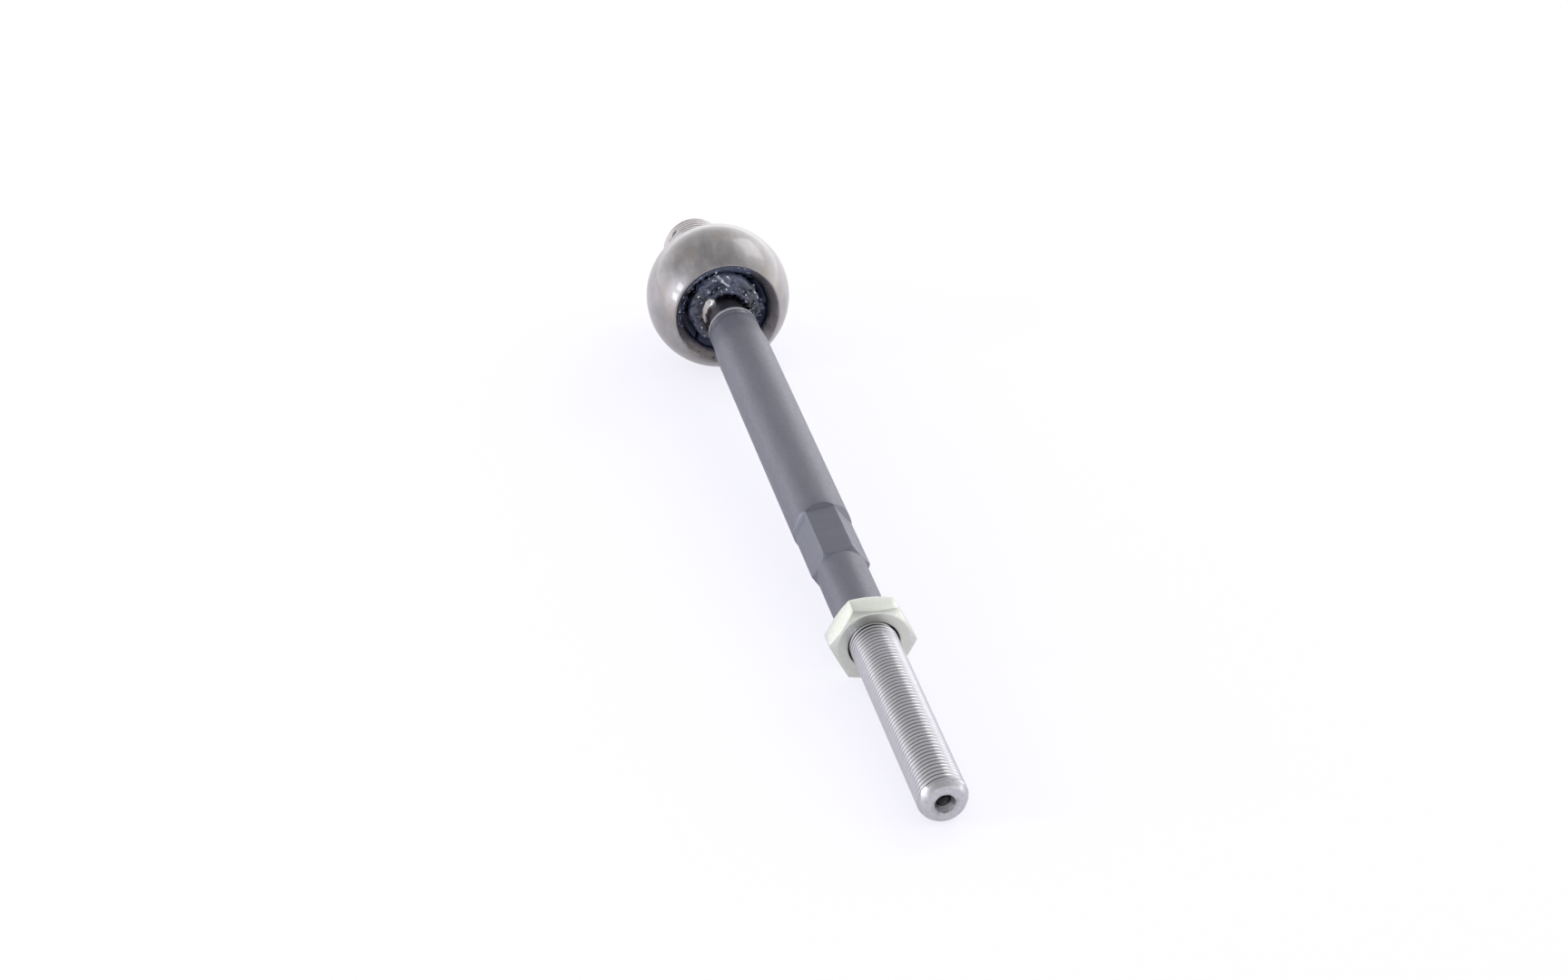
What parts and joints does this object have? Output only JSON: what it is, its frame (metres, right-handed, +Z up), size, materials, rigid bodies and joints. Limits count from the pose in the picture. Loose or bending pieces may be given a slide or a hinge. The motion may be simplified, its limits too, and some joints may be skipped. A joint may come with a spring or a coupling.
{
  "type": "tie rod",
  "caption": "Inner steering tie rod: a greased axial ball joint with a threaded stud, a round rod with spanner flats and a threaded end with its lock nut.",
  "frame": {"origin": "middle of the part's bounding box, on the surface that it lies on", "axes": "+X along the housing's axis from the rack stud to the threaded tip, +Z up from the surface that the part lies on, +Y completes the right-handed frame"},
  "size_m": [0.2874, 0.0412, 0.0412],
  "materials": {
    "housing_steel": "satin, forged and turned, lightly stained",
    "seat_plastic": "moulded",
    "grease": "wet, dark blue",
    "rod_steel": "satin blue-grey phosphate",
    "nut_steel": "pale yellow-green zinc plating"
  },
  "bodies": {
    "housing": {"ball_housing": "housing_steel", "ball_seat": "seat_plastic", "wall_grease": "grease"},
    "swivel": {"rear_grease": "grease"},
    "tilter": {"neck_grease": "grease"},
    "rod": {"tie_rod_shaft": "rod_steel"},
    "nut": {"lock_nut": "nut_steel"}
  },
  "joints": [
    {"name": "swivel", "type": "hinge", "parent": "housing", "child": "swivel", "pos_m": [-0.10572, 0, 0.0206], "axis": [1, 0, 0], "continuous": true},
    {"name": "tilt", "type": "hinge", "parent": "swivel", "child": "tilter", "pos_m": [-0.10572, 0, 0.0206], "axis": [0, 1, 0], "range_deg": [-28.4, 21.6], "deforming": ["neck_grease"]},
    {"name": "rod_spin", "type": "hinge", "parent": "tilter", "child": "rod", "pos_m": [-0.10572, 0, 0.0206], "axis": [0.9983, 0, -0.0591], "continuous": true},
    {"name": "nut_travel", "type": "slide", "parent": "rod", "child": "nut", "axis": [0.9983, 0, -0.0591], "range_m": [0, 0.06]}
  ]
}
